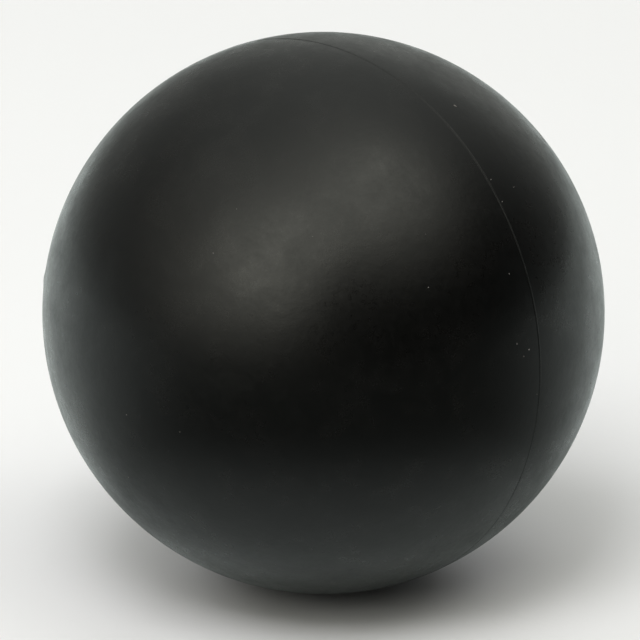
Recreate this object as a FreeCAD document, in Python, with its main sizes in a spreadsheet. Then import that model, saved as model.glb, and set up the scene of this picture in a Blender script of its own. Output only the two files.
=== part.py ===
import FreeCAD, Part
import math
import os

import Sketcher

# Friction ball for turning the screw backs of watch cases: a hollow, air-filled ball of black rubber.
# Two moulded halves are cemented together at bevelled edges. A rubber valve sits in the rear half,
# so that the ball can be pumped up with an inflation needle.
#
# Frame: origin at the centre of the ball, +Z up. Y is the moulding axis: the seam goes round in the
# XZ plane, the front half faces -Y, and the valve is at the +Y pole. Every piece is turned about Y.

DIMENSIONS = {
    # ball
    "ball_diameter": 65.0,
    "shell_wall": 5.0,
    # cemented seam: the joint face slopes to the rear on its way in
    "bevel_run": 3.0,
    "cement_film": 0.25,
    "flash_rise": 0.08,
    "bead_width": 1.6,
    "bead_rise": 0.5,
    # valve housing
    "valve_recess": 0.15,
    "neck_diameter": 10.0,
    "flange_diameter": 22.0,
    "flange_edge": 0.6,
    "flange_root": 1.4,
    "flange_rounding": 0.25,
    "root_fillet": 1.2,
    "barrel_diameter": 13.0,
    "barrel_depth": 13.4,
    "barrel_rounding": 2.2,
    "outlet_diameter": 2.4,
    # valve plug, and the room that the housing leaves round it
    "head_diameter": 6.6,
    "head_thickness": 1.0,
    "head_sink": 0.4,
    "head_rounding": 0.25,
    "stem_diameter": 5.0,
    "stem_length": 5.0,
    "bulb_diameter": 6.8,
    "bulb_length": 4.5,
    "nose_rounding": 1.5,
    "plug_clearance": 0.1,
    "chamber_gap": 0.5,
    # needle guide and slit in the plug
    "guide_diameter": 2.06,
    "guide_depth": 7.0,
    "funnel_depth": 0.6,
    "slit_width": 2.6,
    "slit_gap": 0.1,
}

# Radii and heights along Y that several pieces share, as expressions on the sheet's cells.
BALL = "Dimensions.ball_diameter / 2"
CAVITY = f"({BALL} - Dimensions.shell_wall)"
HALF_FILM = "Dimensions.cement_film / 2"
INNER_EDGE = "Dimensions.bevel_run"
NECK = "Dimensions.neck_diameter / 2"
VALVE_HOLE = f"({NECK} + Dimensions.cement_film)"
VALVE_FACE = f"({BALL} - Dimensions.valve_recess)"
FLANGE = "Dimensions.flange_diameter / 2"
FLANGE_FACE = f"({CAVITY} - Dimensions.cement_film)"
BARREL = "Dimensions.barrel_diameter / 2"
BARREL_END = f"({BALL} - Dimensions.barrel_depth)"
OUTLET = "Dimensions.outlet_diameter / 2"
HEAD = "Dimensions.head_diameter / 2"
HEAD_TOP = f"({BALL} - Dimensions.head_sink)"
HEAD_SEAT = f"({HEAD_TOP} - Dimensions.head_thickness)"
STEM = "Dimensions.stem_diameter / 2"
STEM_END = f"({HEAD_SEAT} - Dimensions.stem_length)"
BULB = "Dimensions.bulb_diameter / 2"
BULB_END = f"({STEM_END} - Dimensions.bulb_length)"
GUIDE = "Dimensions.guide_diameter / 2"
GUIDE_END = f"({HEAD_TOP} - Dimensions.guide_depth)"

# Sketcher's own numbers for the points of an edge and for the sketch's axes.
START, END, CENTRE = 1, 2, 3
ORIGIN = (-1, 1)
AXIS_OF_TURNING = -2
LINE = None

doc = FreeCAD.newDocument("FrictionBall")


# --- the sheet, bodies and sketches ---------------------------------------------------------------


def make_sheet():
    sheet = doc.addObject("Spreadsheet::Sheet", "Dimensions")
    for row, (alias, size) in enumerate(DIMENSIONS.items(), start=1):
        sheet.set(f"A{row}", alias)
        sheet.set(f"B{row}", str(size))
        sheet.setAlias(f"B{row}", alias)
    doc.recompute()


def make_body(label):
    body = doc.addObject("PartDesign::Body", label)
    body.Label = label
    body.Placement = FreeCAD.Placement()
    return body


def make_sketch(body, name, role="XY_Plane"):
    sketch = body.newObject("Sketcher::SketchObject", name)
    plane = next(item for item in body.Origin.OriginFeatures if item.Role == role)
    sketch.AttachmentSupport = (plane, "")
    sketch.MapMode = "FlatFace"
    doc.recompute()
    return sketch


def number(item, expression):
    """What an expression on the sheet's cells comes to, in mm, worked out by one of the objects."""
    result = item.evalExpression(expression)
    return float(getattr(result, "Value", result))


def bind(sketch, name, expression, kind, *places):
    """Add a dimension and tie it to the sheet."""
    index = sketch.addConstraint(Sketcher.Constraint(kind, *places, number(sketch, expression)))
    sketch.renameConstraint(index, name)
    sketch.setExpression(f"Constraints.{name}", expression)


def on_sphere(radius, other):
    """The second coordinate of a point on a sphere about the ball's centre, given the first."""
    return f"sqrt(({radius})^2 - ({other})^2)"


# --- closed sections ------------------------------------------------------------------------------


def sphere(radius):
    """An edge that follows a sphere about the ball's centre."""
    return {"radius": radius, "centred": True}


def bow(width, rise, outward):
    """An edge that bows by rise over its width: outward is +1 away from the axis, -1 towards it."""
    radius = f"(({width})^2 / 4 + ({rise})^2) / (2 * {rise})"
    return {"radius": radius, "centred": False, "outward": outward}


def corner_points(sketch, corners, side):
    """Where the corners are. A coordinate of None follows from the sphere that the corner is on."""
    points = []
    for place, (across, height, edge) in enumerate(corners):
        ball = edge if edge and edge["centred"] else corners[place - 1][2]
        if across is None:
            across = on_sphere(ball["radius"], height)
        if height is None:
            height = f"{side} * {on_sphere(ball['radius'], across)}"
        points.append(FreeCAD.Vector(number(sketch, across), number(sketch, height), 0))
    return points


def arc_centre(start, end, radius, outward):
    """The centre of the arc that joins two points and bows away from the axis, or towards it."""
    middle = (start + end) * 0.5
    chord = end - start
    normal = FreeCAD.Vector(abs(chord.y), -math.copysign(chord.x, chord.y), 0).normalize()
    reach = math.sqrt(radius**2 - (chord.Length / 2) ** 2)
    return middle - normal * (outward * reach)


def add_edge(sketch, start, end, edge):
    """Draw one edge, and say which of its points lie at the first and the second corner."""
    if edge is LINE:
        return sketch.addGeometry(Part.LineSegment(start, end), False), START, END
    radius = number(sketch, edge["radius"])
    centre = FreeCAD.Vector()
    if not edge["centred"]:
        centre = arc_centre(start, end, radius, edge["outward"])
    first = math.atan2(start.y - centre.y, start.x - centre.x)
    last = math.atan2(end.y - centre.y, end.x - centre.x)
    if (last - first) % (2 * math.pi) < math.pi:
        angles, ends = (first, last), (START, END)
    else:
        angles, ends = (last, first), (END, START)
    circle = Part.Circle(centre, FreeCAD.Vector(0, 0, 1), radius)
    return sketch.addGeometry(Part.ArcOfCircle(circle, *angles), False), *ends


def close_section(sketch, corners, side=1):
    """Draw a closed section from corners of (distance from the axis, height, edge that follows),
    join it up and tie its sizes to the sheet. side is -1 where the spheres' lower half is meant."""
    points = corner_points(sketch, corners, side)
    following = points[1:] + points[:1]
    edges = [add_edge(sketch, a, b, c[2]) for a, b, c in zip(points, following, corners)]
    for place, (across, height, edge) in enumerate(corners):
        index, first, _ = edges[place]
        before, _, last = edges[place - 1]
        sketch.addConstraint(Sketcher.Constraint("Coincident", before, last, index, first))
        if across == "0":
            sketch.addConstraint(Sketcher.Constraint("PointOnObject", index, first, AXIS_OF_TURNING))
        elif across is not None:
            bind(sketch, f"across_{place}", across, "DistanceX", *ORIGIN, index, first)
        if height is not None:
            bind(sketch, f"height_{place}", height, "DistanceY", *ORIGIN, index, first)
        if edge is not LINE:
            if edge["centred"]:
                sketch.addConstraint(Sketcher.Constraint("Coincident", index, CENTRE, *ORIGIN))
            bind(sketch, f"radius_{place}", edge["radius"], "Radius", index)
    doc.recompute()
    if not sketch.FullyConstrained:
        raise RuntimeError(f"{sketch.Name} isn't fully constrained")


# --- features -------------------------------------------------------------------------------------


def turn(body, name, kind, corners, side=1):
    """Turn a section about Y, to add material (Revolution) or to cut it away (Groove)."""
    sketch = make_sketch(body, f"{name}Section")
    close_section(sketch, corners, side)
    before = body.Shape.Volume if kind == "Groove" else 0
    feature = body.newObject(f"PartDesign::{kind}", name)
    feature.Profile = (sketch, [""])
    feature.ReferenceAxis = (sketch, ["V_Axis"])
    feature.Angle = 360
    doc.recompute()
    if kind == "Groove" and not body.Shape.Volume < before:
        raise RuntimeError(f"{name} cut nothing")


def cut_rearwards(body, name, sketch, expected, depth=None):
    """Cut a sketch on the XZ plane towards +Y, to a depth or right through, and check the volume."""
    before = body.Shape.Volume
    pocket = body.newObject("PartDesign::Pocket", name)
    pocket.Profile = (sketch, [""])
    if depth is None:
        pocket.Type = "ThroughAll"
    else:
        pocket.Type = "Length"
        pocket.setExpression("Length", depth)
    doc.recompute()
    removed = before - body.Shape.Volume
    if abs(removed - expected) > 0.03 * expected:
        raise RuntimeError(f"{name} removed {removed:.3f} mm3 and not {expected:.3f} mm3")


def is_circle(edge, radius, height):
    """Whether an edge is a circle about Y, of this radius and at this height."""
    if edge.Degenerated or not isinstance(edge.Curve, Part.Circle):
        return False
    found = (edge.Curve.Radius, edge.Curve.Center.y)
    return abs(edge.Curve.Axis.y) > 0.999 and math.dist(found, (radius, height)) < 1e-4


def round_edge(body, name, size, radius, height):
    """Round the circular edge of this radius and height."""
    base = body.Tip
    wanted = (number(base, radius), number(base, height))
    names = [
        f"Edge{place}"
        for place, edge in enumerate(base.Shape.Edges, start=1)
        if is_circle(edge, *wanted)
    ]
    if not names:
        raise RuntimeError(f"{name} has no edge to round")
    fillet = body.newObject("PartDesign::Fillet", name)
    fillet.Base = (base, names)
    fillet.setExpression("Radius", size)
    doc.recompute()


# --- the two halves of the ball -------------------------------------------------------------------


def make_front_half_shell():
    body = make_body("front_half_shell")
    section = [
        ("0", None, sphere(BALL)),
        (None, f"-{HALF_FILM}", LINE),
        (None, f"{INNER_EDGE} - {HALF_FILM}", sphere(CAVITY)),
        ("0", None, LINE),
    ]
    turn(body, "FrontShell", "Revolution", section, side=-1)
    return body


def make_rear_half_shell():
    body = make_body("rear_half_shell")
    section = [
        (None, HALF_FILM, sphere(BALL)),
        ("0", None, LINE),
        ("0", None, sphere(CAVITY)),
        (None, f"{INNER_EDGE} + {HALF_FILM}", LINE),
    ]
    turn(body, "RearShell", "Revolution", section)

    sketch = make_sketch(body, "ValveHoleCircle", "XZ_Plane")
    radius = number(sketch, VALVE_HOLE)
    circle = Part.Circle(FreeCAD.Vector(), FreeCAD.Vector(0, 0, 1), radius)
    index = sketch.addGeometry(circle, False)
    sketch.addConstraint(Sketcher.Constraint("Coincident", index, CENTRE, *ORIGIN))
    bind(sketch, "radius", VALVE_HOLE, "Radius", index)
    wall = number(sketch, "Dimensions.shell_wall")
    cut_rearwards(body, "ValveHole", sketch, math.pi * radius**2 * wall)
    return body


def make_seam_cement_ring():
    """The film between the bevels, the flash that stands proud of it, and the bead inside."""
    body = make_body("seam_cement_ring")
    outer = on_sphere(BALL, HALF_FILM)
    half_bead = "Dimensions.bead_width / 2"
    section = [
        (outer, f"-{HALF_FILM}", LINE),
        (None, f"{INNER_EDGE} - {HALF_FILM}", sphere(CAVITY)),
        (None, f"{INNER_EDGE} - {half_bead}", bow("Dimensions.bead_width", "Dimensions.bead_rise", -1)),
        (None, f"{INNER_EDGE} + {half_bead}", sphere(CAVITY)),
        (None, f"{INNER_EDGE} + {HALF_FILM}", LINE),
        (outer, HALF_FILM, bow("Dimensions.cement_film", "Dimensions.flash_rise", 1)),
    ]
    turn(body, "SeamCement", "Revolution", section)
    return body


# --- the valve ------------------------------------------------------------------------------------


def make_valve_housing():
    """A neck through the wall, a flange inside it and a barrel that holds the plug."""
    body = make_body("valve_housing")
    flange_edge = f"{on_sphere(FLANGE_FACE, FLANGE)} - Dimensions.flange_edge"
    flange_root = f"{on_sphere(FLANGE_FACE, BARREL)} - Dimensions.flange_root"
    outside = [
        ("0", None, LINE),
        ("0", BARREL_END, LINE),
        (BARREL, BARREL_END, LINE),
        (BARREL, flange_root, LINE),
        (FLANGE, flange_edge, LINE),
        (FLANGE, None, sphere(FLANGE_FACE)),
        (NECK, None, LINE),
        (NECK, None, sphere(VALVE_FACE)),
    ]
    turn(body, "HousingOutside", "Revolution", outside)
    round_edge(body, "BarrelRounding", "Dimensions.barrel_rounding", BARREL, BARREL_END)
    round_edge(body, "RootFillet", "Dimensions.root_fillet", BARREL, flange_root)
    round_edge(body, "FlangeRounding", "Dimensions.flange_rounding", FLANGE, flange_edge)

    head_room = f"{HEAD} + Dimensions.plug_clearance"
    chamber = f"{BULB} + Dimensions.plug_clearance"
    chamber_end = f"{BULB_END} - Dimensions.chamber_gap"
    bore = [
        ("0", BALL, LINE),
        ("0", "0", LINE),
        (OUTLET, "0", LINE),
        (OUTLET, chamber_end, LINE),
        (chamber, chamber_end, LINE),
        (chamber, STEM_END, LINE),
        (STEM, STEM_END, LINE),
        (STEM, HEAD_SEAT, LINE),
        (head_room, HEAD_SEAT, LINE),
        (head_room, BALL, LINE),
    ]
    turn(body, "HousingBore", "Groove", bore)
    return body


def make_valve_bond_film():
    """Cement round the neck and over the flange, everywhere between the housing and the shell."""
    body = make_body("valve_bond_film")
    section = [
        (NECK, None, sphere(VALVE_FACE)),
        (VALVE_HOLE, None, LINE),
        (VALVE_HOLE, None, sphere(CAVITY)),
        (FLANGE, None, LINE),
        (FLANGE, None, sphere(FLANGE_FACE)),
        (NECK, None, LINE),
    ]
    turn(body, "BondFilm", "Revolution", section)
    return body


def make_valve_plug():
    """A head in the counterbore, a stem, and a bulb that keeps the plug in the chamber. A hole
    guides the needle as far as a slit, which the rubber round it holds shut."""
    body = make_body("valve_plug")
    outside = [
        ("0", HEAD_TOP, LINE),
        ("0", BULB_END, LINE),
        (BULB, BULB_END, LINE),
        (BULB, STEM_END, LINE),
        (STEM, STEM_END, LINE),
        (STEM, HEAD_SEAT, LINE),
        (HEAD, HEAD_SEAT, LINE),
        (HEAD, HEAD_TOP, LINE),
    ]
    turn(body, "PlugOutside", "Revolution", outside)
    round_edge(body, "HeadRounding", "Dimensions.head_rounding", HEAD, HEAD_TOP)
    round_edge(body, "NoseRounding", "Dimensions.nose_rounding", BULB, BULB_END)

    funnel_end = f"{HEAD_TOP} - Dimensions.funnel_depth"
    guide = [
        ("0", HEAD_TOP, LINE),
        ("0", GUIDE_END, LINE),
        (GUIDE, GUIDE_END, LINE),
        (GUIDE, funnel_end, LINE),
        (f"{GUIDE} + Dimensions.funnel_depth", HEAD_TOP, LINE),
    ]
    turn(body, "NeedleGuide", "Groove", guide)

    sketch = make_sketch(body, "SlitOutline", "XZ_Plane")
    half_width = "Dimensions.slit_width / 2"
    half_gap = "Dimensions.slit_gap / 2"
    outline = [
        (f"-{half_width}", f"-{half_gap}", LINE),
        (half_width, f"-{half_gap}", LINE),
        (half_width, half_gap, LINE),
        (f"-{half_width}", half_gap, LINE),
    ]
    close_section(sketch, outline)
    width = number(sketch, "Dimensions.slit_width")
    gap = number(sketch, "Dimensions.slit_gap")
    length = number(sketch, f"{GUIDE_END} - {BULB_END}")
    cut_rearwards(body, "Slit", sketch, width * gap * length, GUIDE_END)
    return body


# --- build, check and write -----------------------------------------------------------------------


def check_document(bodies):
    for item in doc.Objects:
        if {"Invalid", "Error"} & set(item.State):
            raise RuntimeError(f"{item.Label} failed: {item.State}")
    for body in bodies:
        if body.Shape.isNull() or not body.Shape.isValid() or len(body.Shape.Solids) != 1:
            raise RuntimeError(f"{body.Label} isn't one valid solid")


def main():
    make_sheet()
    bodies = [
        make_front_half_shell(),
        make_rear_half_shell(),
        make_seam_cement_ring(),
        make_valve_housing(),
        make_valve_bond_film(),
        make_valve_plug(),
    ]
    doc.recompute()
    check_document(bodies)
    os.makedirs("parts", exist_ok=True)
    for body in bodies:
        body.Shape.exportStep(f"parts/{body.Label}.step")
        print(f"{body.Label}: {body.Shape.Volume:.2f} mm3")


main()
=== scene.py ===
import math
import random

import bmesh
import bpy
import numpy as np
from mathutils import Matrix, Vector, noise


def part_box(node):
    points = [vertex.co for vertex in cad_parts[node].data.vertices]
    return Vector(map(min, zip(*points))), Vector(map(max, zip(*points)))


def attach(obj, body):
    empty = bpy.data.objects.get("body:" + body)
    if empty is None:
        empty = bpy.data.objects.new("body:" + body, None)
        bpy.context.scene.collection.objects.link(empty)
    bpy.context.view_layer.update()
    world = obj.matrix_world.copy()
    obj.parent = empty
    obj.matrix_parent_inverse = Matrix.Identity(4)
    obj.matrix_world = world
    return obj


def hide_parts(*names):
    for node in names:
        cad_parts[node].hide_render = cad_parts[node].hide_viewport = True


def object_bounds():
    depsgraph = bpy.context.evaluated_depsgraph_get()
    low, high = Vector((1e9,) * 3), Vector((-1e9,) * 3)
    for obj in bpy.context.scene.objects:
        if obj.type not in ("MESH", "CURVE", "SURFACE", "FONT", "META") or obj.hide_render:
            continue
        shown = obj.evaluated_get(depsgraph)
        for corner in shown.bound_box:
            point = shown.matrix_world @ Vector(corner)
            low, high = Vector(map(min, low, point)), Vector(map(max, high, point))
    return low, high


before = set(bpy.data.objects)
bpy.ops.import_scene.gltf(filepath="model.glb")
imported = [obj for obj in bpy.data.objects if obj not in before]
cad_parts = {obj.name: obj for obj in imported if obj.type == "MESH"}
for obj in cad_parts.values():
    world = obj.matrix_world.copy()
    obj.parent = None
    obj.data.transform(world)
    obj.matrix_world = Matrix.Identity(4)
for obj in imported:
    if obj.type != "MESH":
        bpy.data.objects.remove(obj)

# The looks of a black rubber friction ball, in metres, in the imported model's own frame: the origin
# is the ball's centre, +Z is up, the seam goes round in the XZ plane, and the valve is at +Y.
# Every piece is a section turned about Y, with the small unevenness that moulded rubber has.

MM = 0.001
CAD_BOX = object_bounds()

# --- sizes, from the frame where it shows them ----------------------------------------------------

BALL = -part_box("front_half_shell")[0].y
WALL = 5.0 * MM
CAVITY = BALL - WALL
HALF_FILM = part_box("rear_half_shell")[0].y
FILM = 2 * HALF_FILM
BEVEL_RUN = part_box("front_half_shell")[1].y + HALF_FILM
# The trimmed flash stands much lower than the CAD's plain one.
FLASH = 0.18 * (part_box("seam_cement_ring")[1].x - BALL)
BEAD_WIDTH = 1.6 * MM
BEAD_RISE = 0.5 * MM

NECK = 5.0 * MM
VALVE_HOLE = NECK + FILM
VALVE_FACE = BALL - 0.15 * MM
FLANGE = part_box("valve_housing")[1].x
FLANGE_FACE = CAVITY - FILM
BARREL = 6.5 * MM
BARREL_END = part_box("valve_housing")[0].y
OUTLET = 1.2 * MM
HEAD = 3.3 * MM
HEAD_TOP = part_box("valve_plug")[1].y
HEAD_SEAT = HEAD_TOP - 1.0 * MM
STEM = 2.5 * MM
STEM_END = HEAD_SEAT - 5.0 * MM
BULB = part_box("valve_plug")[1].x
BULB_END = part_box("valve_plug")[0].y
GUIDE = 1.03 * MM
GUIDE_END = HEAD_TOP - 7.0 * MM
FUNNEL = 0.6 * MM
SLIT = (2.6 * MM, 0.1 * MM)
PLUG_ROOM = 0.1 * MM
CHAMBER_GAP = 0.5 * MM
FLANGE_EDGE = 0.6 * MM
FLANGE_ROOT = 1.4 * MM

# Details that only the looks have: the ridge on the valve's face and the ring groove in its plug.
RIDGE = 4.25 * MM
RIDGE_HALF = 0.28 * MM
RIDGE_RISE = 0.1 * MM
GROOVE = 2.45 * MM
GROOVE_HALF = 0.1 * MM
GROOVE_DEPTH = 0.09 * MM
LIP = 0.3 * MM


# --- sections: lists of (distance from the Y axis, height along Y) --------------------------------


def height_on(radius, across):
    """How high a sphere about the ball's centre is, at a distance from the Y axis."""
    return math.sqrt(radius**2 - across**2)


def arc(radius, start, end, steps, crowd=1.0):
    """An arc about the ball's centre between two angles from the +Y pole. A crowd over 1 brings the
    points closer together near the end."""
    shares = [1 - (1 - step / steps) ** crowd for step in range(steps + 1)]
    angles = [start + (end - start) * share for share in shares]
    return [(radius * math.sin(angle), radius * math.cos(angle)) for angle in angles]


def angle_of(radius, height):
    """The angle from the +Y pole at which a sphere about the ball's centre has that height."""
    return math.acos(height / radius)


def rounded(corners, steps=6):
    """A section with its corners eased. Each corner is (distance, height, how far it is eased)."""
    section = []
    for place, (across, height, ease) in enumerate(corners):
        corner = Vector((across, height))
        if not ease:
            section.append(tuple(corner))
            continue
        before = Vector(corners[place - 1][:2])
        after = Vector(corners[(place + 1) % len(corners)][:2])
        start = corner + (before - corner).normalized() * ease
        end = corner + (after - corner).normalized() * ease
        for step in range(steps + 1):
            share = step / steps
            section.append(tuple(start.lerp(corner, share).lerp(corner.lerp(end, share), share)))
    return section


def refined(section, longest, closed=True):
    """The section with more points along its long edges."""
    finer = []
    following = section[1:] + (section[:1] if closed else [])
    for start, end in zip(section, following):
        parts = max(1, math.ceil(math.dist(start, end) / longest))
        for part in range(parts):
            share = part / parts
            finer.append(tuple(a + (b - a) * share for a, b in zip(start, end)))
    return finer if closed else finer + section[-1:]


# --- meshes ---------------------------------------------------------------------------------------


def section_normals(rings, closed):
    """Outward normals of a section, as numpy rows."""
    ahead = np.roll(rings, -1, axis=0)
    behind = np.roll(rings, 1, axis=0)
    if not closed:
        ahead[-1], behind[0] = rings[-1], rings[0]
    along = ahead - behind
    across = np.stack([along[:, 1], -along[:, 0]], axis=1)
    across /= np.maximum(np.linalg.norm(across, axis=1, keepdims=True), 1e-12)
    following = np.roll(rings, -1, axis=0)
    area = np.sum(rings[:, 0] * following[:, 1] - following[:, 0] * rings[:, 1])
    return across if area > 0 else -across


def turned(name, section, segments, relief=None):
    """Turn a section about Y into a closed mesh. relief(point) is each point's rise along its
    normal. A section that doesn't start on the axis closes on itself, as a ring."""
    section = np.array(section)
    closed = section[0][0] > 1e-9
    rings = section if closed else section[1:-1]
    normals = section_normals(rings, closed)
    turns = np.arange(segments) * math.tau / segments
    sweep = np.stack([np.sin(turns), np.ones(segments), np.cos(turns)], axis=1)
    points = rings[:, None, [0, 1, 0]] * sweep[None]
    if relief:
        outward = normals[:, None, [0, 1, 0]] * sweep[None]
        rises = np.array([relief(Vector(point)) for point in points.reshape(-1, 3)])
        points = points + outward * rises.reshape(points.shape[0], segments, 1)

    count = len(rings)
    grid = np.arange(count * segments).reshape(count, segments)
    lower = grid if closed else grid[:-1]
    upper = np.roll(grid, -1, axis=0) if closed else grid[1:]
    quads = np.stack([lower, np.roll(lower, -1, 1), np.roll(upper, -1, 1), upper], axis=-1)
    faces = quads.reshape(-1, 4).tolist()
    vertices = points.reshape(-1, 3).tolist()
    if not closed:
        for pole, ring, order in ((section[0], grid[0], 1), (section[-1], grid[-1], -1)):
            vertices.append((0.0, pole[1], 0.0))
            for a, b in zip(ring, np.roll(ring, -1)):
                faces.append([len(vertices) - 1, b, a][::order])

    mesh = bpy.data.meshes.new(name)
    mesh.from_pydata(vertices, [], faces)
    mesh.validate()
    shape = bmesh.new()
    shape.from_mesh(mesh)
    bmesh.ops.recalc_face_normals(shape, faces=shape.faces)
    # On a thin film the faces can come out facing inwards, which the volume's sign shows.
    if shape.calc_volume(signed=True) < 0:
        bmesh.ops.reverse_faces(shape, faces=shape.faces)
    shape.to_mesh(mesh)
    shape.free()
    mesh.shade_smooth()
    mesh.set_sharp_from_angle(angle=math.radians(38))
    piece = bpy.data.objects.new(name, mesh)
    bpy.context.scene.collection.objects.link(piece)
    return piece


def finish_piece(piece, node, slot, *materials):
    """Give a piece its materials, and let it stand for its CAD node on the body that carries it."""
    for material in materials:
        piece.data.materials.append(material)
    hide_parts(node)
    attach(piece, "root")


# --- unevenness -----------------------------------------------------------------------------------

# Only the outermost layer of a shell is uneven, and its inside is smooth.
SKIN = 1.0 * MM
SWELL_RISE, SWELL_SIZE = 0.022 * MM, 24 * MM
RIPPLE_RISE, RIPPLE_SIZE = 0.005 * MM, 5.5 * MM
PIP = BALL * Vector((-0.776, -0.620, 0.117)).normalized()
PIP_RISE, PIP_RADIUS = 0.12 * MM, 0.9 * MM

# How the halves miss each other at the seam, and how the flash and the bead there vary.
MISMATCH = 0.018 * MM
REAR_SINK = 0.005 * MM
FLASH_SLOW, FLASH_QUICK, FLASH_DIP = 0.028 * MM, 0.008 * MM, 0.013 * MM
BEAD_ROUGHNESS = 0.05 * MM


def smooth_share(value, low, high):
    """0 below low, 1 above high, and a smooth rise between them."""
    share = min(max((value - low) / (high - low), 0.0), 1.0)
    return share * share * (3 - 2 * share)


def skin_relief(point):
    """Moulded rubber is never quite even: long soft swells, shorter ones much lower, and the pip
    where the rubber was let into the mould."""
    if point.length < BALL - SKIN:
        return 0.0
    swell = noise.noise(point / SWELL_SIZE)
    ripple = noise.noise(point / RIPPLE_SIZE + Vector((7, 3, 5)))
    pip = math.exp(-(((point - PIP).length / PIP_RADIUS) ** 2))
    return swell * SWELL_RISE + ripple * RIPPLE_RISE + pip * PIP_RISE


def mismatch(point):
    """The two halves of the mould don't quite line up, so the rear half sits a little across."""
    return Vector((0.8, 0, 0.6)).dot(point.normalized()) * MISMATCH


def rear_relief(point):
    """The skin of the rear half, which is a little smaller than the front and out of line with it."""
    if point.length < BALL - SKIN:
        return 0.0
    return skin_relief(point) - REAR_SINK + mismatch(point)


def flash_relief(point):
    """The flash is trimmed by hand, so it rises and falls. Inside the ball, the bead is rough."""
    if point.length < CAVITY + 0.1 * MM:
        return noise.noise(point / (2.1 * MM)) * BEAD_ROUGHNESS
    slow = noise.noise(point / (11 * MM) + Vector((1, 8, 2)))
    quick = noise.noise(point / (1.4 * MM))
    on_ridge = smooth_share(point.length, BALL, BALL + 0.02 * MM)
    return max(slow * FLASH_SLOW + quick * FLASH_QUICK, -FLASH_DIP) * on_ridge


# --- nodes ----------------------------------------------------------------------------------------


def add_node(tree, kind, inputs=None, **settings):
    """Add a node. An input is given a number or colour, or linked if it is a node's socket."""
    made = tree.nodes.new(kind)
    for name, value in settings.items():
        setattr(made, name, value)
    for name, value in (inputs or {}).items():
        if isinstance(value, bpy.types.NodeSocket):
            tree.links.new(value, made.inputs[name])
        else:
            made.inputs[name].default_value = value
    return made


def new_material(name):
    """A new material, its node tree and the shader in it."""
    material = bpy.data.materials.new(name)
    material.use_nodes = True
    tree = material.node_tree
    shader = next(item for item in tree.nodes if item.type == "BSDF_PRINCIPLED")
    return material, tree, shader


def object_place(tree):
    """The place on the object, in metres, which stays with it in every view."""
    return add_node(tree, "ShaderNodeTexCoord").outputs["Object"]


def cloud(tree, place, size, detail=3.0, rough=0.5, distortion=0.0):
    """Noise whose features are about size metres across, from 0 to 1."""
    inputs = {"Vector": place, "Scale": 1 / size, "Detail": detail}
    inputs |= {"Roughness": rough, "Distortion": distortion}
    return add_node(tree, "ShaderNodeTexNoise", inputs).outputs["Fac"]


def spread(tree, value, low, high, to_low=0.0, to_high=1.0, smooth=True):
    """Stretch a value's stretch from low to high over another, and clamp it there."""
    inputs = {"Value": value, "From Min": low, "From Max": high}
    inputs |= {"To Min": to_low, "To Max": to_high}
    kind = "SMOOTHSTEP" if smooth else "LINEAR"
    return add_node(tree, "ShaderNodeMapRange", inputs, interpolation_type=kind).outputs["Result"]


def maths(tree, operation, first, second=0.0, third=0.0):
    """One sum on up to three values."""
    inputs = {0: first, 1: second, 2: third}
    return add_node(tree, "ShaderNodeMath", inputs, operation=operation).outputs[0]


def blend_colour(tree, share, first, second):
    """The first colour where share is 0, and the second where it is 1."""
    inputs = {0: share, 6: first, 7: second}
    return add_node(tree, "ShaderNodeMix", inputs, data_type="RGBA").outputs[2]


def bump(tree, height, distance, below=None):
    """A normal for relief that is distance metres high, laid over another normal if one is given."""
    inputs = {"Height": height, "Strength": 1.0, "Distance": distance}
    if below is not None:
        inputs["Normal"] = below
    return add_node(tree, "ShaderNodeBump", inputs).outputs["Normal"]


def grey(level, warmth=0.0):
    """A grey that leans a little to red, by warmth."""
    return (level * (1 + warmth), level, level * (1 - warmth), 1.0)


# --- materials ------------------------------------------------------------------------------------


def specks(tree, place, spacing, size):
    """Sparse dust: 1 in a small spot round some of the cells' middles, and 0 elsewhere."""
    cells = add_node(tree, "ShaderNodeTexVoronoi", {"Vector": place, "Scale": 1 / spacing})
    pick = add_node(tree, "ShaderNodeSeparateColor", {"Color": cells.outputs["Color"]})
    reach = maths(tree, "MULTIPLY", pick.outputs["Green"], size / spacing)
    inside = maths(tree, "SUBTRACT", reach, cells.outputs["Distance"])
    spot = spread(tree, inside, 0.0, 0.25 * size / spacing)
    return maths(tree, "MULTIPLY", spot, maths(tree, "GREATER_THAN", pick.outputs["Red"], 0.45))


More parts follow.
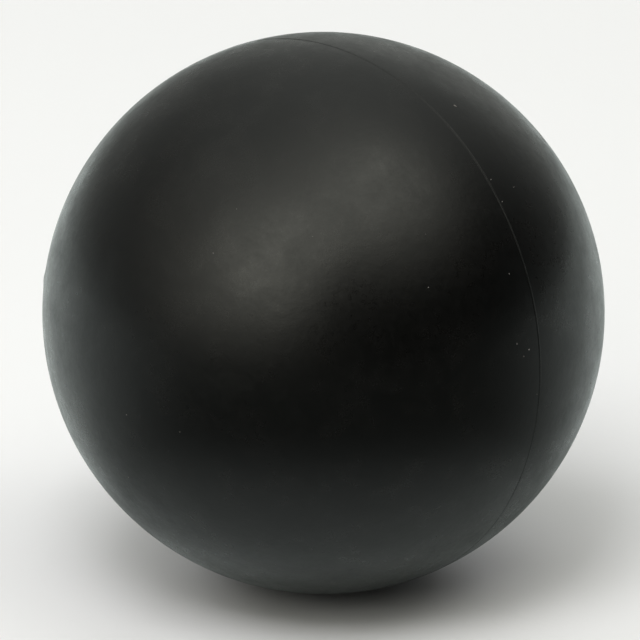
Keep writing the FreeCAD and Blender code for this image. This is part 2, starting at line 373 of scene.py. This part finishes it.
def shell_rubber():
    """Matte black moulded rubber: a fine grain, orange peel, a cloudy bloom and stray dust."""
    material, tree, shader = new_material("shell_rubber_black")
    place = object_place(tree)
    slow = cloud(tree, place, 15 * MM, detail=4, rough=0.55, distortion=0.6)
    mottle = cloud(tree, place, 4.2 * MM, detail=5, rough=0.62, distortion=0.3)
    fine = cloud(tree, place, 0.8 * MM, detail=3, rough=0.65)
    grain = cloud(tree, place, 0.26 * MM, detail=2, rough=0.6)

    mixed = maths(tree, "MULTIPLY_ADD", mottle, 0.6, maths(tree, "MULTIPLY", slow, 0.4))
    bloom = spread(tree, mixed, 0.45, 0.62)
    dust = specks(tree, place, 4.2 * MM, 0.12 * MM)
    body = blend_colour(tree, bloom, grey(0.0008), grey(0.0030, 0.05))
    body = blend_colour(tree, maths(tree, "MULTIPLY", dust, 0.35), body, grey(0.12, 0.05))
    tree.links.new(body, shader.inputs["Base Color"])

    matt = spread(tree, mixed, 0.36, 0.64, 0.385, 0.255, smooth=False)
    matt = maths(tree, "MULTIPLY_ADD", maths(tree, "SUBTRACT", fine, 0.5), 0.16, matt)
    matt = maths(tree, "MULTIPLY_ADD", maths(tree, "SUBTRACT", grain, 0.5), 0.12, matt)
    matt = maths(tree, "MULTIPLY_ADD", dust, 0.3, matt)
    tree.links.new(matt, shader.inputs["Roughness"])
    shader.inputs["IOR"].default_value = 1.5
    shader.inputs["Sheen Weight"].default_value = 0.02
    shader.inputs["Sheen Roughness"].default_value = 0.35

    peel = bump(tree, mottle, 0.03 * MM)
    skin = bump(tree, fine, 0.009 * MM, peel)
    tree.links.new(bump(tree, grain, 0.003 * MM, skin), shader.inputs["Normal"])
    return material


def seam_cement():
    """Cured cement: as black as the rubber, with fine nicks in its skin."""
    material, tree, shader = new_material("seam_cement_black")
    place = object_place(tree)
    patch = cloud(tree, place, 2.5 * MM, detail=3)
    nick = cloud(tree, place, 0.35 * MM, detail=3, rough=0.65)
    body = blend_colour(tree, spread(tree, patch, 0.35, 0.7), grey(0.0010), grey(0.0040, 0.03))
    tree.links.new(body, shader.inputs["Base Color"])
    tree.links.new(spread(tree, nick, 0.3, 0.7, 0.38, 0.55), shader.inputs["Roughness"])
    tree.links.new(bump(tree, nick, 0.015 * MM), shader.inputs["Normal"])
    return material


def valve_rubber(name, level, low, high):
    """Denser, smoother rubber, with rings left by the turned mould and some talc in its pores."""
    material, tree, shader = new_material(name)
    place = object_place(tree)
    patch = cloud(tree, place, 2.2 * MM, detail=4, rough=0.6)
    pores = cloud(tree, place, 0.25 * MM, detail=3, rough=0.6)
    axes = add_node(tree, "ShaderNodeSeparateXYZ", {"Vector": place})
    squares = [maths(tree, "POWER", axes.outputs[axis], 2.0) for axis in ("X", "Z")]
    across = maths(tree, "SQRT", maths(tree, "ADD", *squares))
    rings = maths(tree, "SINE", maths(tree, "MULTIPLY", across, math.tau / (0.22 * MM)))
    talc = maths(tree, "MULTIPLY", spread(tree, patch, 0.5, 0.72), spread(tree, pores, 0.45, 0.7))
    body = blend_colour(tree, talc, grey(level), grey(level * 6, 0.03))
    tree.links.new(body, shader.inputs["Base Color"])
    tree.links.new(spread(tree, patch, 0.3, 0.7, low, high), shader.inputs["Roughness"])
    turned_marks = bump(tree, rings, 0.002 * MM)
    tree.links.new(bump(tree, pores, 0.008 * MM, turned_marks), shader.inputs["Normal"])
    return material


def bond_cement():
    """Brown-black cement, shinier than the rubber, with an uneven skin."""
    material, tree, shader = new_material("bond_cement_brown_black")
    place = object_place(tree)
    patch = cloud(tree, place, 1.3 * MM, detail=4, rough=0.6)
    dark, pale = (0.010, 0.008, 0.006, 1), (0.035, 0.028, 0.02, 1)
    body = blend_colour(tree, spread(tree, patch, 0.35, 0.7), dark, pale)
    tree.links.new(body, shader.inputs["Base Color"])
    tree.links.new(spread(tree, patch, 0.3, 0.7, 0.22, 0.4), shader.inputs["Roughness"])
    tree.links.new(bump(tree, patch, 0.05 * MM), shader.inputs["Normal"])
    return material


def dust_fleck():
    """Pale lint and dust."""
    material, tree, shader = new_material("dust_pale")
    shade = cloud(tree, object_place(tree), 0.2 * MM, detail=2)
    body = blend_colour(tree, shade, grey(0.06, 0.04), grey(0.22, 0.06))
    tree.links.new(body, shader.inputs["Base Color"])
    shader.inputs["Roughness"].default_value = 0.9
    return material


# --- dust that has landed on the ball -------------------------------------------------------------

LINT_RADIUS = 0.025 * MM


def frame_on_ball(turn_from_top, rearward, radius=BALL):
    """Axes at a point of the ball's surface: turn_from_top goes round Y in degrees, from +Z towards
    +X, and rearward is the distance behind the seam plane."""
    turn = math.radians(turn_from_top)
    across = height_on(radius, rearward)
    outward = Vector((across * math.sin(turn), rearward, across * math.cos(turn)))
    turned_axes = outward.to_track_quat("Z", "Y").to_matrix().to_4x4()
    return Matrix.Translation(outward) @ turned_axes


def add_flecks(piece, places, dice, material_index=1):
    """Lay small flat grains on a piece, as part of its mesh. A place is (turn from the top in
    degrees, distance behind the seam plane, length)."""
    shape = bmesh.new()
    shape.from_mesh(piece.data)
    for turn, rearward, length in places:
        spin = Matrix.Rotation(dice.uniform(0, math.tau), 4, "Z")
        flat = Matrix.Diagonal((length / 2, length * dice.uniform(0.22, 0.4), length * 0.14, 1))
        spot = frame_on_ball(turn, rearward) @ spin @ flat
        made = bmesh.ops.create_icosphere(shape, subdivisions=2, radius=1.0)["verts"]
        for vertex in made:
            vertex.co *= 1 + 0.28 * noise.noise(vertex.co * 1.7 + Vector((turn, rearward / MM, 0)))
        bmesh.ops.transform(shape, matrix=spot, verts=made)
        for face in {face for vertex in made for face in vertex.link_faces}:
            face.material_index = material_index
            face.smooth = True
    shape.to_mesh(piece.data)
    shape.free()


def add_fibre(piece, turn_from_top, rearward, length, bend, dice, material_index=1):
    """Lay a thread of lint on a piece, as part of its mesh: a thin tube along a shallow bow."""
    steps = 14
    sides = 5
    spin = Matrix.Rotation(dice.uniform(0, math.tau), 4, "Z")
    spot = frame_on_ball(turn_from_top, rearward) @ spin
    shape = bmesh.new()
    shape.from_mesh(piece.data)
    rings = []
    for step in range(steps + 1):
        share = step / steps
        middle = Vector(((share - 0.5) * length, bend * math.sin(math.pi * share), 0))
        middle.y += 0.1 * bend * math.sin(7 * share)
        middle = spot @ middle
        middle *= (BALL + 0.6 * LINT_RADIUS) / middle.length
        width = LINT_RADIUS * (0.35 + 0.65 * math.sin(math.pi * share))
        ring = []
        for side in range(sides):
            turn = math.tau * side / sides
            offset = Vector((0, math.cos(turn), math.sin(turn), 0)) * width
            ring.append(shape.verts.new(middle + (spot @ offset).to_3d()))
        rings.append(ring)
    faces = [shape.faces.new(rings[0]), shape.faces.new(rings[-1][::-1])]
    for lower, upper in zip(rings, rings[1:]):
        for side in range(sides):
            after = (side + 1) % sides
            faces.append(shape.faces.new((lower[side], upper[side], upper[after], lower[after])))
    for face in faces:
        face.material_index = material_index
        face.smooth = True
    bmesh.ops.recalc_face_normals(shape, faces=faces)
    shape.to_mesh(piece.data)
    shape.free()


def scattered(dice, count, low, high):
    """Random places for flecks between two distances behind the seam plane."""
    spots = []
    for _ in range(count):
        length = dice.uniform(0.09, 0.2) * MM
        spots.append((dice.uniform(0, 360), dice.uniform(low, high), length))
    return spots


# --- the ball -------------------------------------------------------------------------------------


def make_front_half(rubber, dust, dice):
    """From the pole at -Y along the outside, over the bevel and back along the inside."""
    seam = angle_of(BALL, -HALF_FILM)
    inner_seam = angle_of(CAVITY, BEVEL_RUN - HALF_FILM)
    section = arc(BALL, math.pi, seam, 130, crowd=1.5)
    section += arc(CAVITY, inner_seam, math.pi, 40)
    piece = turned("front_shell", section, 440, skin_relief)
    finish_piece(piece, "front_half_shell", "shell_rubber", rubber, dust)
    # Specks that the photograph shows.
    seen = [
        (68, -2.7 * MM, 0.16 * MM),
        (82, -3.6 * MM, 0.2 * MM),
        (84, -1.8 * MM, 0.24 * MM),
        (85, -2.7 * MM, 0.18 * MM),
        (94, -0.5 * MM, 0.18 * MM),
        (-61, -27.4 * MM, 0.2 * MM),
        (-160, -32.2 * MM, 0.2 * MM),
        (127, -31.6 * MM, 0.16 * MM),
        (-164, -29.6 * MM, 0.2 * MM),
    ]
    add_flecks(piece, seen + scattered(dice, 14, -30 * MM, -1 * MM), dice)
    add_fibre(piece, -93, -17.0 * MM, 1.5 * MM, 0.25 * MM, dice)
    add_fibre(piece, 152, -14.0 * MM, 1.1 * MM, 0.3 * MM, dice)


def make_rear_half(rubber, dust, dice):
    """The outside from the valve hole to the seam, the bevel, the inside, and the hole's eased lip."""
    seam = angle_of(BALL, HALF_FILM)
    inner_seam = angle_of(CAVITY, BEVEL_RUN + HALF_FILM)
    outside = arc(BALL, math.asin((VALVE_HOLE + LIP) / BALL), seam, 130, crowd=1.5)
    inside = arc(CAVITY, inner_seam, math.asin(VALVE_HOLE / CAVITY), 40)
    top = height_on(BALL, VALVE_HOLE)
    mouth = rounded([(*inside[-1], 0), (VALVE_HOLE, top, LIP), (*outside[0], 0)])[1:-1]
    piece = turned("rear_shell", outside + inside + mouth, 440, rear_relief)
    finish_piece(piece, "rear_half_shell", "shell_rubber", rubber, dust)
    # Specks that the photograph shows.
    seen = [
        (31, 3.6 * MM, 0.42 * MM),
        (9, 3.0 * MM, 0.16 * MM),
        (49, 0.6 * MM, 0.24 * MM),
        (52, 3.5 * MM, 0.2 * MM),
        (54, 0.5 * MM, 0.18 * MM),
    ]
    add_flecks(piece, seen + scattered(dice, 20, 1 * MM, 30 * MM), dice)
    add_fibre(piece, 40, 19.0 * MM, 1.9 * MM, 0.5 * MM, dice)
    add_fibre(piece, -70, 11.0 * MM, 1.2 * MM, 0.35 * MM, dice)


def make_seam(cement):
    """The cement between the bevels, its outer edge (the flash) and the bead inside the ball."""
    outer = math.sqrt(BALL**2 - HALF_FILM**2)
    flash = []
    for step in range(11):
        share = step / 10
        rise = FLASH * math.sin(math.pi * share) ** 2
        flash.append((outer + rise, HALF_FILM * (2 * share - 1)))
    bead = []
    for step in range(9):
        share = step / 8
        height = BEVEL_RUN + BEAD_WIDTH * (0.5 - share)
        rise = BEAD_RISE * math.sin(math.pi * share)
        bead.append((height_on(CAVITY - rise, height), height))
    film = [
        (height_on(CAVITY, BEVEL_RUN + HALF_FILM), BEVEL_RUN + HALF_FILM),
        (height_on(CAVITY, BEVEL_RUN - HALF_FILM), BEVEL_RUN - HALF_FILM),
    ]
    section = flash + film[:1] + bead + film[1:]
    piece = turned("seam_flash", section, 900, flash_relief)
    finish_piece(piece, "seam_cement_ring", "seam_cement", cement)


# --- the valve ------------------------------------------------------------------------------------


def make_valve_housing(rubber):
    """The face with its ridge, the neck, the flange, the barrel and its outlet, and back up the
    inside past the plug's chamber, stem and head."""
    room = HEAD + PLUG_ROOM
    chamber = BULB + PLUG_ROOM
    chamber_end = BULB_END - CHAMBER_GAP
    ridge_feet = (RIDGE - RIDGE_HALF, RIDGE + RIDGE_HALF)
    face = [(across, height_on(VALVE_FACE, across), 0) for across in ridge_feet]
    crest = (RIDGE, height_on(VALVE_FACE, RIDGE) + RIDGE_RISE, 0.15 * MM)
    flange = [(across * MM, height_on(FLANGE_FACE, across * MM), 0) for across in (6, 7, 8, 9, 10)]
    rim = height_on(FLANGE_FACE, FLANGE)
    corners = [
        (room, height_on(VALVE_FACE, room), 0.18 * MM),
        face[0],
        crest,
        face[1],
        (NECK, height_on(VALVE_FACE, NECK), 0.16 * MM),
        (NECK, height_on(FLANGE_FACE, NECK), 0),
        *flange,
        (FLANGE, rim, 0.12 * MM),
        (FLANGE, rim - FLANGE_EDGE, 0.25 * MM),
        (BARREL, height_on(FLANGE_FACE, BARREL) - FLANGE_ROOT, 1.2 * MM),
        (BARREL, BARREL_END, 2.2 * MM),
        (OUTLET, BARREL_END, 0.1 * MM),
        (OUTLET, chamber_end, 0.1 * MM),
        (chamber, chamber_end, 0),
        (chamber, STEM_END, 0),
        (STEM, STEM_END, 0),
        (STEM, HEAD_SEAT, 0),
        (room, HEAD_SEAT, 0),
    ]
    piece = turned("valve_neck_and_barrel", refined(rounded(corners), 0.4 * MM), 220)
    finish_piece(piece, "valve_housing", "valve_rubber", rubber)


def film_relief(point):
    """Only the cement's free top is uneven."""
    if point.length < VALVE_FACE - 0.02 * MM:
        return 0.0
    return (noise.noise(point / (0.9 * MM)) * 0.06 - 0.03) * MM


def make_bond_film(cement):
    """The film between the shell and the housing's neck and flange, and its free top."""
    top_inner = (NECK, height_on(VALVE_FACE, NECK))
    top_outer = (VALVE_HOLE, height_on(VALVE_FACE, VALVE_HOLE))
    top = [tuple(a + (b - a) * step / 4 for a, b in zip(top_inner, top_outer)) for step in range(5)]
    outer = arc(CAVITY, math.asin(VALVE_HOLE / CAVITY), math.asin(FLANGE / CAVITY), 12)
    inner = arc(FLANGE_FACE, math.asin(FLANGE / FLANGE_FACE), math.asin(NECK / FLANGE_FACE), 12)
    piece = turned("valve_cement", top + outer + inner, 220, film_relief)
    finish_piece(piece, "valve_bond_film", "bond_cement", cement)


def make_blade():
    """A thin box that reaches from the guide hole's end past the plug's, to cut the slit with."""
    mesh = bpy.data.meshes.new("blade")
    shape = bmesh.new()
    bmesh.ops.create_cube(shape, size=1.0)
    length = 2 * (GUIDE_END - BULB_END)
    bmesh.ops.scale(shape, vec=(SLIT[0], length, SLIT[1]), verts=shape.verts)
    bmesh.ops.translate(shape, vec=(0, GUIDE_END - length / 2 + 0.01 * MM, 0), verts=shape.verts)
    shape.to_mesh(mesh)
    shape.free()
    blade = bpy.data.objects.new("blade", mesh)
    bpy.context.scene.collection.objects.link(blade)
    return blade


def make_valve_plug(rubber):
    """The plug, with the needle's guide hole down to the slit, which is cut with a thin blade."""
    corners = [
        (0, GUIDE_END, 0),
        (GUIDE, GUIDE_END, 0),
        (GUIDE, HEAD_TOP - FUNNEL, 0.1 * MM),
        (GUIDE + FUNNEL, HEAD_TOP, 0.12 * MM),
        (GROOVE - GROOVE_HALF, HEAD_TOP, 0.06 * MM),
        (GROOVE, HEAD_TOP - GROOVE_DEPTH, 0),
        (GROOVE + GROOVE_HALF, HEAD_TOP, 0.06 * MM),
        (HEAD, HEAD_TOP, 0.25 * MM),
        (HEAD, HEAD_SEAT, 0),
        (STEM, HEAD_SEAT, 0),
        (STEM, STEM_END, 0),
        (BULB, STEM_END, 0.1 * MM),
        (BULB, BULB_END, 1.5 * MM),
        (0, BULB_END, 0),
    ]
    section = refined(rounded(corners), 0.4 * MM, closed=False)
    piece = turned("valve_plug_soft", section, 200)
    blade = make_blade()
    cut = piece.modifiers.new("slit", "BOOLEAN")
    cut.object = blade
    cut.solver = "EXACT"
    bpy.context.view_layer.objects.active = piece
    bpy.ops.object.modifier_apply(modifier="slit")
    bpy.data.objects.remove(blade)
    finish_piece(piece, "valve_plug", "plug_rubber", rubber)


# --- stage ----------------------------------------------------------------------------------------

# Where the camera stands. Lights are placed by their bearing from it, anticlockwise seen from above.
VIEW_BEARING = math.radians(41)
VIEW_RISE = math.radians(19)
VIEW_DISTANCE = 0.9

# How the ball sits in the frame: its outline's share of the width, and how far right of the middle
# and above it the ball's centre is, in the ball's radii.
OUTLINE_SHARE = 0.8788
FRAMED_RIGHT = 0.0125
FRAMED_UP = 0.0249

STAGE_RADIUS = 5.0
PAPER_FADES = (0.2, 0.8)
PAPER_TONES = (0.772, 0.765, 0.792, 1), (0.788, 0.781, 0.808, 1)
CARD_RISE = 0.3 * MM
CARD_TURN = math.radians(8)
# Painted reflection: the card's two tones, dark for the painted shade in front of the ball and pale
# for the paper round it and behind.
PAINTED_REFLECTION_TONES = (0.054, 0.058, 0.055, 1), (0.84, 0.91, 0.93, 1)
BACKDROP = (0.9, 0.9, 0.895, 1)

WARM = (1.0, 1.0, 0.88)
NEUTRAL = (0.96, 1.0, 0.94)

# The room's soft glows: bearing and rise of the middle, how far each reaches from there in degrees,
# how strong it is in the middle, and its tint.
GLOWS = {
    "ceiling": (0, 90, 60, 0.4, NEUTRAL),
    "window_high": (40, 65, 45, 0.7, WARM),
    "window_middle": (-30, 40, 30, 0.8, WARM),
    "window_low": (-35, 25, 40, 0.45, WARM),
    "window_side": (-60, 40, 45, 0.35, WARM),
    "wall_left": (-100, 20, 95, 0.15, NEUTRAL),
    "wall_behind": (180, 20, 90, 0.15, NEUTRAL),
    "wall_behind_low": (180, 0, 55, 0.1, NEUTRAL),
    "corner_behind": (155, 40, 45, 0.15, NEUTRAL),
    "corner_behind_low": (165, 10, 30, 0.2, NEUTRAL),
}


def direction(bearing, rise):
    """A unit vector: bearing is in degrees to the right of the camera's own place, as the camera
    sees it, and rise is in degrees above the floor."""
    turn = VIEW_BEARING + math.radians(bearing)
    level = math.cos(math.radians(rise))
    return Vector((math.sin(turn) * level, -math.cos(turn) * level, math.sin(math.radians(rise))))


def make_camera():
    """The camera, framed as the photograph is."""
    lens = bpy.data.cameras.new("camera")
    camera = bpy.data.objects.new("camera", lens)
    bpy.context.scene.collection.objects.link(camera)
    bpy.context.scene.camera = camera
    back = direction(0, math.degrees(VIEW_RISE))
    right = Vector((math.cos(VIEW_BEARING), math.sin(VIEW_BEARING), 0))
    up = back.cross(right)
    outline = BALL / math.sqrt(VIEW_DISTANCE**2 - BALL**2)
    lens.lens = lens.sensor_width * OUTLINE_SHARE / 2 / outline
    lens.clip_start = 0.01
    lens.clip_end = 20
    aim = -right * FRAMED_RIGHT * BALL - up * FRAMED_UP * BALL
    camera.location = back * VIEW_DISTANCE
    camera.rotation_mode = "QUATERNION"
    camera.rotation_quaternion = (aim - camera.location).to_track_quat("-Z", "Y")


def round_sheet(name):
    """A wide round sheet, flat, at the ball's lowest point."""
    shape = bmesh.new()
    bmesh.ops.create_circle(shape, cap_ends=True, segments=128, radius=STAGE_RADIUS)
    mesh = bpy.data.meshes.new(name)
    shape.to_mesh(mesh)
    shape.free()
    sheet = bpy.data.objects.new(name, mesh)
    bpy.context.scene.collection.objects.link(sheet)
    sheet.location.z = CAD_BOX[0].z
    return sheet


def make_floor():
    """Smooth white paper under the ball, which fades into the backdrop further away."""
    floor = round_sheet("floor")
    material, tree, shader = new_material("paper_white")
    place = object_place(tree)
    tone = cloud(tree, place, 0.06, detail=3)
    fibre = cloud(tree, place, 0.0012, detail=3, rough=0.6)
    colour = blend_colour(tree, tone, *PAPER_TONES)
    tree.links.new(colour, shader.inputs["Base Color"])
    shader.inputs["Roughness"].default_value = 0.8
    shader.inputs["Specular IOR Level"].default_value = 0.2
    tree.links.new(bump(tree, fibre, 0.02 * MM), shader.inputs["Normal"])
    away = add_node(tree, "ShaderNodeVectorMath", {0: place}, operation="LENGTH").outputs["Value"]
    gone = add_node(tree, "ShaderNodeBsdfTransparent").outputs[0]
    shares = {0: spread(tree, away, *PAPER_FADES), 1: shader.outputs[0], 2: gone}
    fading = add_node(tree, "ShaderNodeMixShader", shares).outputs[0]
    output = next(item for item in tree.nodes if item.type == "OUTPUT_MATERIAL")
    tree.links.new(fading, output.inputs[0])
    floor.data.materials.append(material)
    floor.visible_glossy = False


def make_softbox(name, start, end, width, radiance, tint=(1, 1, 1), seen=True):
    """A flat panel of light that faces the ball from nearly 1 m. start and end are the directions
    of the middles of two of its sides, and width is the length of those sides. One that isn't seen
    lights matt surfaces only, such as paper."""
    first, last = direction(*start), direction(*end)
    middle = (first + last) / 2
    light = bpy.data.lights.new(name, "AREA")
    light.shape = "RECTANGLE"
    light.size = (last - first).length
    light.size_y = width
    light.energy = radiance * math.pi * light.size * light.size_y
    light.color = tint
    lamp = bpy.data.objects.new(name, light)
    bpy.context.scene.collection.objects.link(lamp)
    along = (last - first).normalized()
    away = middle.normalized()
    lamp.matrix_world = Matrix((along, away.cross(along), away)).transposed().to_4x4()
    lamp.location = middle
    lamp.visible_camera = False
    lamp.visible_glossy = seen


def make_lights():
    """A long soft panel over the front of the ball, in two lengths, and panels that gloss doesn't
    see, which keep the paper bright."""
    make_softbox("panel_high", (85, 60), (15, 60), 0.5, 0.9, WARM)
    make_softbox("panel_low", (15, 60), (-30, 20), 0.5, 0.6, WARM)
    make_softbox("paper_front", (-20, 45), (-20, 75), 0.4, 6.2, seen=False)
    make_softbox("paper_left", (-90, 30), (-90, 50), 0.3, 2.0, seen=False)
    make_softbox("paper_back_left", (-135, 15), (-135, 35), 0.3, 2.0, seen=False)
    make_softbox("paper_back", (180, 15), (180, 35), 0.3, 2.5, seen=False)
    make_softbox("paper_right", (90, 40), (90, 60), 0.3, 2.0, seen=False)


def make_world():
    """A pale backdrop to look at, and a dim room with broad soft glows in it to light the ball."""
    world = bpy.data.worlds.new("studio")
    bpy.context.scene.world = world
    world.use_nodes = True
    tree = world.node_tree
    tree.nodes.clear()
    place = add_node(tree, "ShaderNodeTexCoord").outputs["Generated"]
    light = None
    for bearing, rise, reach, strength, tint in GLOWS.values():
        axis = direction(bearing, rise)
        both = {0: place, 1: axis}
        facing = add_node(tree, "ShaderNodeVectorMath", both, operation="DOT_PRODUCT")
        level = spread(tree, facing.outputs["Value"], math.cos(math.radians(reach)), 1.0)
        colour = [strength * channel for channel in tint]
        glow = add_node(tree, "ShaderNodeVectorMath", {0: colour, 3: level}, operation="SCALE")
        if light is None:
            light = glow.outputs[0]
        else:
            both = {0: light, 1: glow.outputs[0]}
            light = add_node(tree, "ShaderNodeVectorMath", both, operation="ADD").outputs[0]
    room = add_node(tree, "ShaderNodeBackground", {"Color": light, "Strength": 1.0})
    backdrop = add_node(tree, "ShaderNodeBackground", {"Color": BACKDROP, "Strength": 1.0})
    seen = add_node(tree, "ShaderNodeLightPath").outputs["Is Camera Ray"]
    ways = {0: seen, 1: room.outputs[0], 2: backdrop.outputs[0]}
    shown = add_node(tree, "ShaderNodeMixShader", ways)
    add_node(tree, "ShaderNodeOutputWorld", {"Surface": shown.outputs[0]})


def make_painted_reflection_card():
    """What the ball's gloss sees of the floor, as a painted reflection: pale paper round the ball and
    behind it, which falls away to painted shade in front, where the camera sees white paper. It lies
    just over the floor and shows in reflections only."""
    card = round_sheet("painted_reflection_card")
    card.location.z += CARD_RISE
    card.rotation_euler.z = VIEW_BEARING + CARD_TURN
    material, tree, shader = new_material("painted_reflection_grade")
    place = object_place(tree)
    along = add_node(tree, "ShaderNodeSeparateXYZ", {"Vector": place}).outputs["Y"]
    away = add_node(tree, "ShaderNodeVectorMath", {0: place}, operation="LENGTH").outputs["Value"]
    behind = spread(tree, maths(tree, "DIVIDE", along, away), -0.8, 1.2)
    near = spread(tree, away, 0.4 * BALL, 2.4 * BALL, 0.6, 0.0)
    under = spread(tree, away, 0.5 * BALL, 1.1 * BALL, 1.0, 0.0)
    share = maths(tree, "MAXIMUM", behind, maths(tree, "MAXIMUM", near, under))
    # Painted shade in reflections: the card is dark in front of the ball and pale round it, under it
    # and behind.
    tree.links.new(blend_colour(tree, share, *PAINTED_REFLECTION_TONES), shader.inputs["Base Color"])
    shader.inputs["Roughness"].default_value = 1.0
    shader.inputs["Specular IOR Level"].default_value = 0.0
    card.data.materials.append(material)
    for way in ("camera", "diffuse", "shadow", "transmission"):
        setattr(card, f"visible_{way}", False)


# --- make everything ------------------------------------------------------------------------------


def main():
    """Make the pieces in a fixed order, because they draw from the same dice, and then the stage."""
    dice = random.Random(7)
    rubber = shell_rubber()
    dust = dust_fleck()
    make_front_half(rubber, dust, dice)
    make_rear_half(rubber, dust, dice)
    make_seam(seam_cement())
    make_valve_housing(valve_rubber("valve_rubber_black", 0.006, 0.3, 0.42))
    make_bond_film(bond_cement())
    make_valve_plug(valve_rubber("plug_rubber_black", 0.0045, 0.24, 0.36))
    make_camera()
    make_floor()
    make_painted_reflection_card()
    make_world()
    make_lights()
    bpy.context.scene.view_settings.view_transform = "Standard"


main()
